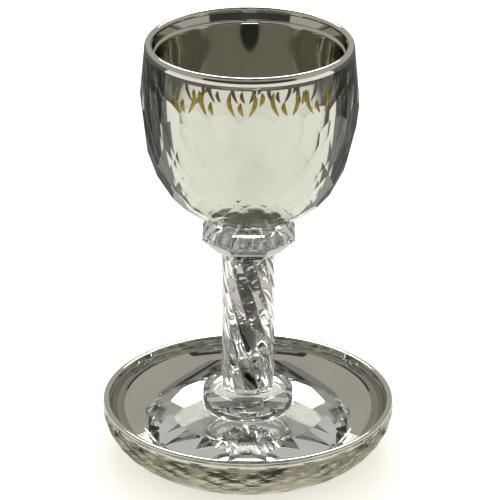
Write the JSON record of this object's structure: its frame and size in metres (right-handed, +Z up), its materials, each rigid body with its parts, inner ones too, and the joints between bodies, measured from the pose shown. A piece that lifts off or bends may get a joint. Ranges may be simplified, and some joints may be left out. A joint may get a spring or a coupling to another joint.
{
  "type": "kiddush cup",
  "caption": "Stemmed kiddush cup of silvered cut crystal with a twisted filled stem and faceted knops, standing in its matching cut saucer.",
  "frame": {"origin": "centre of the saucer's flat underside, on the surface it stands on", "axes": "+Z up along the cup's axis; -Y is the front, where the band under the lip carries its gold marks"},
  "size_m": [0.1078, 0.1078, 0.161],
  "materials": {
    "silvered_crystal": "silver mirror lining behind clear cut crystal, polished",
    "clear_crystal": "clear, flat-polished",
    "twisted_glass": "clear, fire-polished ribs"
  },
  "bodies": {
    "root": {"saucer": "silvered_crystal", "foot": "clear_crystal", "lower_knop": "clear_crystal", "stem": "twisted_glass", "upper_knop": "clear_crystal", "bowl": "silvered_crystal"}
  },
  "joints": []
}
